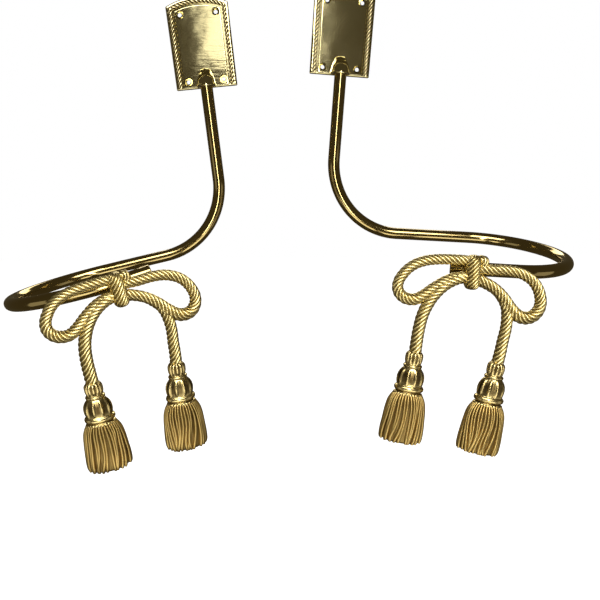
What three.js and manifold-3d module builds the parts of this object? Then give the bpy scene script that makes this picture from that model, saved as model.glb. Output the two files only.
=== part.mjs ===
// A pair of brass curtain holdbacks. Each one is a wall plate, a bent rod and a cast rope bow.
// Millimetres, +Z up. The wall is the plane y = 0 and the room is on its -Y side.
// The origin is the centre of the left plate's back.
//
// Each holdback is drawn facing the viewer first: x to the right, y up, z out from the wall.
import * as THREE from 'three';
import { mergeVertices } from 'three/addons/utils/BufferGeometryUtils.js';
import Module from 'manifold-3d';

const wasm = await Module();
wasm.setup();

const CONTACT_GAP = 0.3;
const WELD_DISTANCE = 0.02;

// Wall plate
const PLATE_WIDTH = 48;
const PLATE_SIDE_HEIGHT = 61.5;
const ARCH_RISE = 5.5;
const RIM_THICKNESS = 2.2;
const FIELD_THICKNESS = 3.0;
const RIM_WIDTH = 1.5;
const BORDER_ROPE_RADIUS = 1.8;
const BORDER_LAY = 9.6;
const GROOVE_WIDTH = 1.1;
const SCREW_HOLE_X = 13.9;
const SCREW_HOLE_HEIGHTS = [5.7, 55];
const SCREW_HOLE_RADIUS = 1.6;
const COUNTERSINK_RADIUS = 3.1;

// Bent rod
const ROD_RADIUS = 4.75;
const ROD_OFF_WALL = 9;
const SOCKET_DEPTH = 4;
const WALL_BEND_RADIUS = 58;
const HOOK_BEND_RADIUS = 54.5;
const TIP_BEND_RADIUS = 110;

// Rope bow
const ROPE_STRANDS = 5;
const LOOP_LAY = 14;
const CORD_LAY = 16;
const KNOT_LEAN = -0.13;
const BOW_ABOVE_ROD = 9.2;

// The two rods were bent by hand, so their straight lengths and angles differ a little,
// and so does the way each bow is seated: how far it hangs below the rod, and its tilt in degrees.
const HOLDBACKS = [
  {
    name: 'left',
    outward: -1,
    place: [0, 0],
    lean: 5.7,
    bends: [
      { feed: 70.8, roll: 0, radius: WALL_BEND_RADIUS, angle: 82.7 },
      { feed: 50.4, roll: 88.4, radius: HOOK_BEND_RADIUS, angle: 183.3 },
      { feed: 8.6, roll: -11.3, radius: TIP_BEND_RADIUS, angle: 17.5 },
    ],
    tip: 11.5,
    knotFromTip: 23,
    bow: { drop: 1.8, pitch: 3.3, yaw: 13.9, turn: -1.1 },
  },
  {
    name: 'right',
    outward: 1,
    place: [110.4, 10.2],
    lean: -3.8,
    bends: [
      { feed: 64.6, roll: 0, radius: WALL_BEND_RADIUS, angle: 90.2 },
      { feed: 61.2, roll: 94.7, radius: HOOK_BEND_RADIUS, angle: 181.1 },
      { feed: 7.9, roll: 12.4, radius: TIP_BEND_RADIUS, angle: 15.8 },
    ],
    tip: 8,
    knotFromTip: 13.5,
    bow: { drop: 1, pitch: -4.2, yaw: -8.8, turn: -6.8 },
  },
];

const rad = THREE.MathUtils.degToRad;
const vec = (x, y, z) => new THREE.Vector3(x, y, z);

function brass(name, color, roughness) {
  const material = new THREE.MeshStandardMaterial({ color, roughness, metalness: 1 });
  material.name = name;
  return material;
}

// Solids and booleans

function solidOf(geometry) {
  const bare = geometry.clone();
  bare.deleteAttribute('normal');
  bare.deleteAttribute('uv');
  const merged = mergeVertices(bare, 1e-4);
  const mesh = new wasm.Mesh({
    numProp: 3,
    vertProperties: new Float32Array(merged.attributes.position.array),
    triVerts: new Uint32Array(merged.index.array),
  });
  return new wasm.Manifold(mesh);
}

// The joined surface, with corners nearer than the weld distance made one and flattened triangles dropped.
function geometryOf(body) {
  const mesh = body.getMesh();
  const geometry = new THREE.BufferGeometry();
  geometry.setAttribute('position', new THREE.BufferAttribute(mesh.vertProperties, 3));
  geometry.setIndex(new THREE.BufferAttribute(mesh.triVerts, 1));
  const welded = mergeVertices(geometry, WELD_DISTANCE);
  const corners = Array.from(welded.index.array);
  const kept = [];
  for (let i = 0; i < corners.length; i += 3) {
    const [a, b, c] = corners.slice(i, i + 3);
    if (a !== b && b !== c && c !== a) {
      kept.push(a, b, c);
    }
  }
  welded.setIndex(kept);
  return welded;
}

function union(bodies) {
  return bodies.reduce((whole, body) => whole.add(body));
}

// Stations are places along a path, each with the direction the path runs there.

function stationsOn(curve, count) {
  return Array.from({ length: count + 1 }, (_, i) => ({
    point: curve.getPointAt(i / count),
    along: curve.getTangentAt(i / count),
  }));
}

function smoothPath(points) {
  return new THREE.CatmullRomCurve3(points.map(([x, y, z = 0]) => vec(x, y, z)), false, 'centripetal');
}

// A closed ring of [across, over] offsets swept along the stations.
// ringAt(i) gives the ring at station i, counter-clockwise seen from ahead.
function sweep(stations, ringAt, firstSide) {
  const positions = [];
  const triangles = [];
  const side = firstSide.clone();
  stations.forEach(({ point, along }, i) => {
    if (i > 0) {
      side.applyQuaternion(new THREE.Quaternion().setFromUnitVectors(stations[i - 1].along, along));
    }
    side.addScaledVector(along, -side.dot(along)).normalize();
    const over = along.clone().cross(side);
    for (const [a, b] of ringAt(i)) {
      positions.push(...point.clone().addScaledVector(side, a).addScaledVector(over, b).toArray());
    }
  });
  const count = ringAt(0).length;
  const last = stations.length - 1;
  for (let i = 0; i < last; i += 1) {
    for (let j = 0; j < count; j += 1) {
      const next = (j + 1) % count;
      const here = i * count;
      const ahead = here + count;
      triangles.push(here + j, here + next, ahead + j);
      triangles.push(here + next, ahead + next, ahead + j);
    }
  }
  const startCentre = positions.length / 3;
  positions.push(...stations[0].point.toArray(), ...stations[last].point.toArray());
  for (let j = 0; j < count; j += 1) {
    const next = (j + 1) % count;
    triangles.push(startCentre, next, j);
    triangles.push(startCentre + 1, last * count + j, last * count + next);
  }
  const geometry = new THREE.BufferGeometry();
  geometry.setAttribute('position', new THREE.Float32BufferAttribute(positions, 3));
  geometry.setIndex(triangles);
  return geometry;
}

function circle(radius, sides, turn = 0) {
  return Array.from({ length: sides }, (_, j) => {
    const angle = turn + (2 * Math.PI * j) / sides;
    return [radius * Math.cos(angle), radius * Math.sin(angle)];
  });
}

// A ring with one ridge for each strand: the odd points sit in the valleys between them.
function ridged(radius, valley, strands, turn = 0) {
  return Array.from({ length: strands * 2 }, (_, j) => {
    const angle = turn + (Math.PI * j) / strands;
    const reach = j % 2 ? radius * valley : radius;
    return [reach * Math.cos(angle), reach * Math.sin(angle)];
  });
}

// The value a share of the way along evenly spread values.
function spread(values, share) {
  const at = share * (values.length - 1);
  const before = Math.min(Math.floor(at), values.length - 2);
  return THREE.MathUtils.lerp(values[before], values[before + 1], at - before);
}

// Right-hand laid rope through points, with radii spread evenly along it.
function rope(points, radii, strands, lay, turnPerStep, firstSide) {
  const curve = smoothPath(points);
  const length = curve.getLength();
  const steps = Math.max(1, Math.round((length / lay) * (360 / turnPerStep)));
  const ringAt = (i) => {
    const share = i / steps;
    return ridged(spread(radii, share), 0.8, strands, (2 * Math.PI * length * share) / lay);
  };
  return solidOf(sweep(stationsOn(curve, steps), ringAt, firstSide));
}

// Plate

const plateBottom = -PLATE_SIDE_HEIGHT / 2;
const archRadius = (PLATE_WIDTH ** 2 / 4 + ARCH_RISE ** 2) / (2 * ARCH_RISE);
const archCentreY = -plateBottom + ARCH_RISE - archRadius;

// The plate's outline drawn in by an even distance on its sides and arched top.
function plateOutline(inset, bottomInset) {
  const halfWidth = PLATE_WIDTH / 2 - inset;
  const radius = archRadius - inset;
  const reach = Math.asin(halfWidth / radius);
  const shape = new THREE.Shape();
  shape.moveTo(-halfWidth + 1, plateBottom + bottomInset);
  shape.lineTo(halfWidth - 1, plateBottom + bottomInset);
  shape.lineTo(halfWidth, plateBottom + bottomInset + 1);
  shape.absarc(0, archCentreY, radius, Math.PI / 2 - reach, Math.PI / 2 + reach, false);
  shape.lineTo(-halfWidth, plateBottom + bottomInset + 1);
  return shape;
}

function plateSlab() {
  const bevel = 0.5;
  const slab = new THREE.ExtrudeGeometry(plateOutline(bevel, bevel), {
    depth: RIM_THICKNESS - bevel,
    curveSegments: 8,
    bevelEnabled: true,
    bevelThickness: bevel,
    bevelSize: bevel,
    bevelSegments: 1,
  });
  const body = solidOf(slab);
  const behindWall = new THREE.BoxGeometry(100, 100, 4).translate(0, 0, -2);
  return body.subtract(solidOf(behindWall));
}

function plateField() {
  const bevel = 0.6;
  const inset = RIM_WIDTH + 2 * BORDER_ROPE_RADIUS + GROOVE_WIDTH + bevel;
  const field = new THREE.ExtrudeGeometry(plateOutline(inset, 1.6), {
    depth: FIELD_THICKNESS - bevel - 1,
    curveSegments: 8,
    bevelEnabled: true,
    bevelThickness: bevel,
    bevelSize: bevel,
    bevelSegments: 1,
  });
  return solidOf(field.translate(0, 0, 1));
}

function borderRope() {
  const inset = RIM_WIDTH + BORDER_ROPE_RADIUS;
  const x = PLATE_WIDTH / 2 - inset;
  const z = RIM_THICKNESS - 0.2;
  const radius = archRadius - inset;
  const reach = Math.asin(x / radius);
  const shoulder = archCentreY + radius * Math.cos(reach);
  const arch = Array.from({ length: 9 }, (_, i) => {
    const angle = reach * (1 - i / 4);
    return [-radius * Math.sin(angle), archCentreY + radius * Math.cos(angle), z];
  });
  const runs = [
    [[-x, plateBottom + 0.9, z], [-x, shoulder + 0.8, z]],
    [[x, plateBottom + 0.9, z], [x, shoulder + 0.8, z]],
    arch,
  ];
  const radii = [BORDER_ROPE_RADIUS, BORDER_ROPE_RADIUS];
  return runs.map((run) => rope(run, radii, 3, BORDER_LAY, 90, vec(0, 0, 1)));
}

// Hood that holds the rod: stations run down, each ring is an arch standing on the plate.
function hood() {
  const profile = [
    { height: 14.3, halfWidth: 2.6, crown: 3.1 },
    { height: 13.2, halfWidth: 4.1, crown: 4.6 },
    { height: 11, halfWidth: 5.1, crown: 8.3 },
    { height: 8, halfWidth: 6, crown: 12.7 },
    { height: 4.6, halfWidth: 6.7, crown: 15.5 },
    { height: 2, halfWidth: 7.1, crown: 16.1 },
    { height: 1.9, halfWidth: 7.5, crown: 16.5 },
    { height: 0.7, halfWidth: 7.5, crown: 16.5 },
  ];
  const base = 0.8;
  const stations = profile.map(({ height }) => ({
    point: vec(0, plateBottom + height, base + 0.4),
    along: vec(0, -1, 0),
  }));
  const ringAt = (i) => {
    const { halfWidth, crown } = profile[i];
    const spring = Math.max(crown - halfWidth, base + 0.6) - base;
    const rise = crown - base - spring;
    const arch = Array.from({ length: 9 }, (_, j) => {
      const angle = (Math.PI * j) / 8;
      return [halfWidth * Math.cos(angle), spring + rise * Math.sin(angle) - 0.4];
    });
    return [[halfWidth, -0.4], ...arch, [-halfWidth, -0.4]];
  };
  return solidOf(sweep(stations, ringAt, vec(1, 0, 0)));
}

function cylinderAlongY(radius, from, to, x, z, sides) {
  const geometry = new THREE.CylinderGeometry(radius, radius, to - from, sides);
  return solidOf(geometry.translate(x, (from + to) / 2, z));
}

function screwHoles() {
  const flare = COUNTERSINK_RADIUS - SCREW_HOLE_RADIUS;
  const profile = [
    [0, -1],
    [SCREW_HOLE_RADIUS, -1],
    [SCREW_HOLE_RADIUS, FIELD_THICKNESS - flare],
    [COUNTERSINK_RADIUS + 0.5, FIELD_THICKNESS + 0.5],
    [0, FIELD_THICKNESS + 0.5],
  ].map(([x, y]) => new THREE.Vector2(x, y));
  const holes = [];
  for (const x of [-SCREW_HOLE_X, SCREW_HOLE_X]) {
    for (const height of SCREW_HOLE_HEIGHTS) {
      const hole = new THREE.LatheGeometry(profile, 12).rotateX(Math.PI / 2);
      holes.push(solidOf(hole.translate(x, plateBottom + height, 0)));
    }
  }
  return holes;
}

function plate() {
  const body = union([plateSlab(), plateField(), ...borderRope(), hood()]);
  const socketTop = plateBottom + SOCKET_DEPTH + CONTACT_GAP;
  const socketRadius = ROD_RADIUS + CONTACT_GAP;
  const socket = cylinderAlongY(socketRadius, plateBottom - 5, socketTop, 0, ROD_OFF_WALL, 16);
  return body.subtract(union([socket, ...screwHoles()]));
}

// Rod

// Follows the bends from the socket: each is a straight feed, then an arc in a plane rolled about the rod.
function rodStations({ outward, bends, tip }, degreesPerStep) {
  const at = vec(0, plateBottom + SOCKET_DEPTH, ROD_OFF_WALL);
  const along = vec(0, -1, 0);
  const inside = vec(outward, 0, 0);
  const stations = [];
  const keep = () => stations.push({ point: at.clone(), along: along.clone() });
  keep();
  at.addScaledVector(along, SOCKET_DEPTH);
  for (const { feed, roll, radius, angle } of bends) {
    at.addScaledVector(along, feed);
    inside.applyAxisAngle(along, rad(roll) * outward).normalize();
    const centre = at.clone().addScaledVector(inside, radius);
    const axis = along.clone().cross(inside);
    const steps = Math.ceil(angle / degreesPerStep);
    keep();
    for (let i = 0; i < steps; i += 1) {
      const turn = rad(angle / steps);
      at.sub(centre).applyAxisAngle(axis, turn).add(centre);
      along.applyAxisAngle(axis, turn).normalize();
      inside.applyAxisAngle(axis, turn).normalize();
      keep();
    }
  }
  at.addScaledVector(along, tip);
  keep();
  return stations;
}

// The rod grown by the contact gap, to clear room for it in what it carries.
function rodRoom(holdback) {
  const ring = circle(ROD_RADIUS + CONTACT_GAP, 12);
  return sweep(rodStations(holdback, 16), () => ring, vec(holdback.outward, 0, 0));
}

function arm(holdback) {
  const chamfer = 0.7;
  const stations = rodStations(holdback, 16);
  const end = stations[stations.length - 1];
  const shoulder = { point: end.point.clone().addScaledVector(end.along, -chamfer), along: end.along };
  stations.splice(stations.length - 1, 0, shoulder);
  const last = stations.length - 1;
  const ringAt = (i) => circle(i === last ? ROD_RADIUS - chamfer : ROD_RADIUS, 12);
  return solidOf(sweep(stations, ringAt, vec(holdback.outward, 0, 0)));
}

// Bow, drawn round the middle of its knot and facing z

function knot() {
  const profile = [
    { y: -12.2, x: 2.2, z: 2.6 },
    { y: -10.9, x: 3.9, z: 4.8 },
    { y: -8, x: 4.9, z: 6.4 },
    { y: 0, x: 5.2, z: 7 },
    { y: 6.6, x: 5, z: 6.4 },
    { y: 9.7, x: 3.9, z: 4.8 },
    { y: 11, x: 2.2, z: 2.6 },
  ];
  const stations = profile.map(({ y }) => ({ point: vec(y * KNOT_LEAN, y, 0), along: vec(0, 1, 0) }));
  const ringAt = (i) => {
    const { y, x, z } = profile[i];
    return ridged(1, 0.86, 10, rad(y * 9)).map(([a, b]) => [a * x, b * z]);
  };
  return solidOf(sweep(stations, ringAt, vec(1, 0, 0)));
}

// The short turn of rope that stands up at the knot's right shoulder.
function knotShoulder() {
  const ball = new THREE.SphereGeometry(1, 10, 7).scale(3.6, 3.9, 3.8);
  return solidOf(ball.translate(5.4, 7.9, 0));
}

// Each loop leaves the knot at its top, runs outward, turns down and comes back over its cord.
const LOOPS = [
  {
    points: [
      [-1, 6.3, -0.5],
      [-8, 6],
      [-15, 5.1],
      [-21, 4.1],
      [-27.2, 2.6],
      [-33.4, 0.3],
      [-39.7, -3.9],
      [-44.6, -10.4],
      [-46.8, -17.3],
      [-45.8, -22],
      [-42.4, -25.4],
      [-38, -26.6],
      [-33.3, -25.8],
      [-28.8, -22.5],
      [-22.1, -15.3, -0.5],
      [-13.6, -8, -0.5],
      [-5, -4.2, -0.5],
    ],
    radii: [3.7, 3.6, 3.6, 3.6, 3.8, 4.2, 4, 3.6, 3.5],
  },
  {
    points: [
      [1, 2.6, -0.5],
      [7, 2.9],
      [13, 3.4],
      [18.5, 4.4],
      [24, 5],
      [30, 4.9],
      [35.5, 3.5],
      [39.9, 1.3],
      [43.9, -2.4],
      [47.2, -8],
      [48.5, -13.5],
      [47.2, -19.2],
      [43.6, -23],
      [39.1, -24],
      [35, -23],
      [30, -19.7],
      [23.2, -13.1, 0.7],
      [16, -8.1, 0.7],
      [5, -4.2, 0.5],
    ],
    radii: [3.6, 3.6, 3.7, 3.7, 4, 4.5, 4.6, 3.8, 3.6],
  },
];

// Each cord runs from the knot down to its tassel.
const CORDS = [
  {
    points: [
      [-1, -5],
      [-6, -5.8, 0.4],
      [-12, -9.2, 0.4],
      [-17, -14, 0.4],
      [-21.3, -20.5],
      [-24.4, -28],
      [-26, -35],
      [-26.5, -45],
      [-26, -55],
      [-25.5, -61.5],
    ],
    radii: [3.8, 3.9, 4.2, 4.3, 4.4],
  },
  {
    points: [
      [1, -5],
      [8, -6, -0.6],
      [14.5, -7.9, -0.6],
      [19.5, -10.3, -0.6],
      [23.2, -13.6, -0.6],
      [26.8, -18.6],
      [28.9, -24.8],
      [30.1, -32],
      [30.2, -43],
      [30.4, -52],
      [30.2, -58],
    ],
    radii: [3.7, 3.7, 3.9, 4, 4.3],
  },
];

function bowRopes() {
  const laid = (lay) => ({ points, radii }) => rope(points, radii, ROPE_STRANDS, lay, 85, vec(0, 1, 0));
  return [...LOOPS.map(laid(LOOP_LAY)), ...CORDS.map(laid(CORD_LAY))];
}

// Down from the cord's end: each row is depth, radius and how deep its lobes are cut.
const TASSEL_HEAD = [
  [-0.6, 3.6, 1],
  [2, 6, 0.88],
  [7, 6.1, 0.88],
  [9.2, 6.6, 1],
  [11.2, 6.6, 1],
  [15.5, 9, 0.9],
  [20.5, 9.2, 0.9],
  [23.8, 8.7, 1],
  [24.3, 9.9, 1],
  [27.2, 10.2, 1],
  [28.2, 9.2, 1],
];
const TASSEL_SKIRT = [
  [28, 9.6, 0.94],
  [31, 10.9, 0.94],
  [34.5, 12.9, 0.93],
  [43, 14.3, 0.92],
  [61, 15.2, 0.92],
  [63.6, 14.4, 0.92],
];
const HEAD_LOBES = 10;
const SKIRT_RIBS = 20;

// A tassel is flatter from front to back than it is wide, the more so further down.
function tasselFlatness(depth) {
  return THREE.MathUtils.lerp(0.95, 0.68, THREE.MathUtils.clamp(depth / 24, 0, 1));
}

function tassel(x, y, slant) {
  const top = vec(x, y, 0);
  const down = vec(slant, -1, 0).normalize();
  const part = (rows, ribs) => {
    const stations = rows.map(([depth]) => ({
      point: top.clone().addScaledVector(down, depth),
      along: down,
    }));
    const ringAt = (i) => {
      const [depth, radius, valley] = rows[i];
      return ridged(radius, valley, ribs).map(([a, b]) => [a, b * tasselFlatness(depth)]);
    };
    return solidOf(sweep(stations, ringAt, vec(1, 0, 0)));
  };
  return part(TASSEL_HEAD, HEAD_LOBES).add(part(TASSEL_SKIRT, SKIRT_RIBS));
}

// The bow without the room for its rod.
function bow() {
  const tassels = [tassel(-25.5, -61, 0.042), tassel(30.1, -57.3, 0.008)];
  return union([knot(), knotShoulder(), ...bowRopes(), ...tassels]);
}

// Where the knot sits on the rod, and how the bow is turned there.
function bowPlace(holdback) {
  const stations = rodStations(holdback, 2);
  let back = holdback.knotFromTip;
  let i = stations.length - 1;
  let span = stations[i].point.distanceTo(stations[i - 1].point);
  while (back > span) {
    back -= span;
    i -= 1;
    span = stations[i].point.distanceTo(stations[i - 1].point);
  }
  const point = stations[i].point.clone().lerp(stations[i - 1].point, back / span);
  const { drop, pitch, yaw, turn } = holdback.bow;
  const tilt = new THREE.Euler(rad(pitch), rad(yaw), rad(turn), 'ZYX');
  point.add(vec(0, -drop, BOW_ABOVE_ROD).applyEuler(tilt));
  return new THREE.Matrix4().compose(point, new THREE.Quaternion().setFromEuler(tilt), vec(1, 1, 1));
}

function seatedBow(holdback) {
  const rodHere = rodRoom(holdback).applyMatrix4(bowPlace(holdback).invert());
  return bow().subtract(solidOf(rodHere));
}

const polished = brass('polished_brass', 0xc9a04a, 0.22);
const rodBrass = brass('rod_brass', 0xb08a3e, 0.18);
const satin = brass('satin_brass', 0xb9924a, 0.38);

function part(name, body, material) {
  const geometry = geometryOf(body);
  geometry.computeVertexNormals();
  const mesh = new THREE.Mesh(geometry, material);
  mesh.name = name;
  return mesh;
}

// One holdback, turned from facing the viewer to standing on the wall.
function holdbackGroup(holdback) {
  const { name, place, lean } = holdback;
  const bowMesh = part(`bow_${name}`, seatedBow(holdback), satin);
  bowMesh.applyMatrix4(bowPlace(holdback));
  const facing = new THREE.Group();
  facing.add(part(`plate_${name}`, plate(), polished));
  facing.add(part(`arm_${name}`, arm(holdback), rodBrass));
  facing.add(bowMesh);
  facing.position.set(place[0], place[1], 0);
  facing.rotation.z = rad(lean);
  const standing = new THREE.Group();
  standing.name = `${name}_holdback`;
  standing.rotation.x = Math.PI / 2;
  standing.add(facing);
  return standing;
}

const group = new THREE.Group();
group.name = 'curtain_holdbacks';
for (const holdback of HOLDBACKS) {
  group.add(holdbackGroup(holdback));
}

export default group;
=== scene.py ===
# Looks for the pair of brass curtain holdbacks: wall plates, bent rods and cast rope bows.
import math

import bpy
from mathutils import Euler, Matrix, Quaternion, Vector


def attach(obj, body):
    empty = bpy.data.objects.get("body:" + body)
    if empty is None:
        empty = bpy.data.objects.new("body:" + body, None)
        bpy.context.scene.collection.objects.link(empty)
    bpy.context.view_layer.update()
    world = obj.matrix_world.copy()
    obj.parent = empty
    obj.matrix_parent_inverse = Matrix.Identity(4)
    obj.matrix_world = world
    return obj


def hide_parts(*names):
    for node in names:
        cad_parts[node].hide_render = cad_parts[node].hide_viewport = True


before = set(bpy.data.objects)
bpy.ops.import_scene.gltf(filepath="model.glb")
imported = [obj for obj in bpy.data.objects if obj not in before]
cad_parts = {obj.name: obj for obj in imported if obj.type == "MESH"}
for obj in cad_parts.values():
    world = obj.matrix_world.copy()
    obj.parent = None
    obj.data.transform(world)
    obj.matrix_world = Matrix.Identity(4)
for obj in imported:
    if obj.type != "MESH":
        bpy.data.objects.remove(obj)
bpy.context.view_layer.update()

# Sizes in millimetres, drawn facing the viewer: x to the right, y up, z out from the wall.

PLATE_WIDTH = 48.0
PLATE_SIDE_HEIGHT = 61.5
ARCH_RISE = 5.5
RIM_THICKNESS = 2.2
FIELD_THICKNESS = 3.0
RIM_WIDTH = 1.5
BORDER_ROPE_RADIUS = 1.8
BORDER_STRANDS = 4
BORDER_LAY = 12.2
BORDER_VALLEY = 0.45
BORDER_SUNK = 0.2
BORDER_FOOT = 0.9
BORDER_OVERLAP = 0.8
GROOVE_WIDTH = 1.1
CORNER_RADIUS = 1.0
HOOD_FOOT = 0.8
HOOD_LOWEST_SPRING = 1.6
SCREW_HOLE_X = 13.9
SCREW_HOLE_HEIGHTS = (5.7, 55.0)
SCREW_HOLE_RADIUS = 1.6
COUNTERSINK_RADIUS = 3.1

ROD_RADIUS = 4.75
ROD_TIP_ROUNDING = 0.7
ROD_SIDES = 64
BEND_STEP_DEGREES = 2.0
ROD_OFF_WALL = 9.0
SOCKET_DEPTH = 4.0
CONTACT_GAP = 0.3
WALL_BEND_RADIUS = 58.0
HOOK_BEND_RADIUS = 54.5
TIP_BEND_RADIUS = 110.0

# A lay is the length in which a strand goes once round its rope. A valley is how deep the hollows
# between strands are, as a share of the rope's radius. A lower roundness makes flatter strands.
STRAND_ROUNDNESS = 0.8
ROPE_STRANDS = 7
ROPE_VALLEY = 0.26
LOOP_LAY = 22.0
CORD_LAY = 24.0
BOW_ABOVE_ROD = 9.2

KNOT_STRANDS = 11
KNOT_LAY = 34.0
KNOT_VALLEY = 0.2
KNOT_HALF_WIDTH = 5.5
KNOT_HALF_HEIGHT = 11.7
KNOT_MIDDLE = -0.6
KNOT_LEAN = -0.13
KNOT_DEPTH_FOR_WIDTH = 1.28

# A tassel's flatness is its thickness for its width.
HEAD_FLATNESS = 0.95
SKIRT_FLATNESS = 0.68
FLATTEST_FROM = 24.0
SKIRT_STRANDS = 36
SKIRT_TOP = 29.5
SKIRT_LENGTH = 34.2
SKIRT_RADIUS = 13.9
SKIRT_SWAY = 1.7
SKIRT_STRAND_RADIUS = 1.25

PLATE_BOTTOM = -PLATE_SIDE_HEIGHT / 2

# Each holdback: which way its hook turns, where its plate's middle is on the wall and how far it
# leans in degrees, its bends, the straight length at its tip, and how its bow is seated on the rod.
# Each bend: straight feed, roll of the bend's plane about the rod, radius, angle.
HOLDBACKS = (
    {
        "name": "left",
        "outward": -1,
        "place": (0.0, 0.0),
        "lean": 5.7,
        "bends": (
            (70.8, 0.0, WALL_BEND_RADIUS, 82.7),
            (50.4, 88.4, HOOK_BEND_RADIUS, 183.3),
            (8.6, -11.3, TIP_BEND_RADIUS, 17.5),
        ),
        "tip": 11.5,
        "knot_from_tip": 23.0,
        "bow": {"drop": 1.8, "pitch": 3.3, "yaw": 13.9, "turn": -1.1},
    },
    {
        "name": "right",
        "outward": 1,
        "place": (110.4, 10.2),
        "lean": -3.8,
        "bends": (
            (64.6, 0.0, WALL_BEND_RADIUS, 90.2),
            (61.2, 94.7, HOOK_BEND_RADIUS, 181.1),
            (7.9, 12.4, TIP_BEND_RADIUS, 15.8),
        ),
        "tip": 8.0,
        "knot_from_tip": 13.5,
        "bow": {"drop": 1.0, "pitch": -4.2, "yaw": -8.8, "turn": -6.8},
    },
)


# Node building

def link(tree, source, target):
    tree.links.new(source, target)


def add(tree, kind, **settings):
    node = tree.nodes.new(kind)
    for name, value in settings.items():
        setattr(node, name, value)
    return node


def math_node(tree, operation, first, second=None):
    """A Math node whose inputs are sockets or plain numbers."""
    node = add(tree, "ShaderNodeMath", operation=operation)
    for socket, value in zip(node.inputs, (first, second)):
        if value is None:
            continue
        if isinstance(value, (int, float)):
            socket.default_value = value
        else:
            link(tree, value, socket)
    return node.outputs[0]


def new_shape_tree(name, inputs):
    """A geometry tree with its inputs and output made, and its two end nodes."""
    tree = bpy.data.node_groups.new(name, "GeometryNodeTree")
    tree.interface.new_socket("Geometry", in_out="INPUT", socket_type="NodeSocketGeometry")
    for label, kind, value in inputs:
        socket = tree.interface.new_socket(label, in_out="INPUT", socket_type=kind)
        if value is not None:
            socket.default_value = value
    tree.interface.new_socket("Geometry", in_out="OUTPUT", socket_type="NodeSocketGeometry")
    return tree, add(tree, "NodeGroupInput"), add(tree, "NodeGroupOutput")


def close_shape_tree(tree, entry, exit_node, geometry):
    """Every shape ends made real, smooth and in its metal."""
    real = add(tree, "GeometryNodeRealizeInstances")
    smooth = add(tree, "GeometryNodeSetShadeSmooth")
    metal = add(tree, "GeometryNodeSetMaterial")
    link(tree, geometry, real.inputs["Geometry"])
    link(tree, real.outputs["Geometry"], smooth.inputs["Geometry"])
    link(tree, smooth.outputs["Geometry"], metal.inputs["Geometry"])
    link(tree, entry.outputs["Metal"], metal.inputs["Material"])
    link(tree, metal.outputs["Geometry"], exit_node.inputs["Geometry"])


POINTS_PER_STRAND = 8.0


def laid_rope_tree():
    """Right-hand laid rope along a curve. The curve's own point radius is the rope's radius."""
    tree, entry, end = new_shape_tree("laid_rope", (
        ("Strands", "NodeSocketInt", ROPE_STRANDS),
        ("Lay", "NodeSocketFloat", LOOP_LAY),
        ("Valley", "NodeSocketFloat", ROPE_VALLEY),
        ("Step", "NodeSocketFloat", 0.5),
        ("Metal", "NodeSocketMaterial", None),
    ))
    resample = add(tree, "GeometryNodeResampleCurve", mode="LENGTH")
    link(tree, entry.outputs["Geometry"], resample.inputs["Curve"])
    link(tree, entry.outputs["Step"], resample.inputs["Length"])
    along = add(tree, "GeometryNodeSplineParameter")
    turns = math_node(tree, "DIVIDE", along.outputs["Length"], entry.outputs["Lay"])
    twist = add(tree, "GeometryNodeSetCurveTilt")
    link(tree, resample.outputs["Curve"], twist.inputs["Curve"])
    link(tree, math_node(tree, "MULTIPLY", turns, 2 * math.pi), twist.inputs["Tilt"])

    ring = add(tree, "GeometryNodeCurvePrimitiveCircle", mode="RADIUS")
    ring.inputs["Radius"].default_value = 1.0
    per_ring = math_node(tree, "MULTIPLY", entry.outputs["Strands"], POINTS_PER_STRAND)
    link(tree, per_ring, ring.inputs["Resolution"])
    where = add(tree, "GeometryNodeInputPosition")
    split = add(tree, "ShaderNodeSeparateXYZ")
    link(tree, where.outputs["Position"], split.inputs["Vector"])
    around = math_node(tree, "ARCTAN2", split.outputs["Y"], split.outputs["X"])
    half_turns = math_node(tree, "MULTIPLY", around, entry.outputs["Strands"])
    wave = math_node(tree, "COSINE", math_node(tree, "MULTIPLY", half_turns, 0.5))
    crest = math_node(tree, "POWER", math_node(tree, "ABSOLUTE", wave), STRAND_ROUNDNESS)
    hollow = math_node(tree, "SUBTRACT", 1.0, crest)
    depth = math_node(tree, "MULTIPLY", hollow, entry.outputs["Valley"])
    reach = math_node(tree, "SUBTRACT", 1.0, depth)
    scaled = add(tree, "ShaderNodeVectorMath", operation="SCALE")
    link(tree, where.outputs["Position"], scaled.inputs[0])
    link(tree, reach, scaled.inputs["Scale"])
    # The hollows between strands are stored, for the metal to dull and darken with painted shade.
    store = add(tree, "GeometryNodeStoreNamedAttribute", data_type="FLOAT", domain="POINT")
    store.inputs["Name"].default_value = "hollow"
    link(tree, ring.outputs["Curve"], store.inputs["Geometry"])
    link(tree, hollow, store.inputs["Value"])
    lobed = add(tree, "GeometryNodeSetPosition")
    link(tree, store.outputs["Geometry"], lobed.inputs["Geometry"])
    link(tree, scaled.outputs["Vector"], lobed.inputs["Position"])

    sweep = add(tree, "GeometryNodeCurveToMesh")
    sweep.inputs["Fill Caps"].default_value = True
    link(tree, twist.outputs["Curve"], sweep.inputs["Curve"])
    link(tree, lobed.outputs["Geometry"], sweep.inputs["Profile Curve"])
    own = add(tree, "GeometryNodeInputRadius")
    link(tree, own.outputs["Radius"], sweep.inputs["Scale"])
    close_shape_tree(tree, entry, end, sweep.outputs["Mesh"])
    return tree


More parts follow.
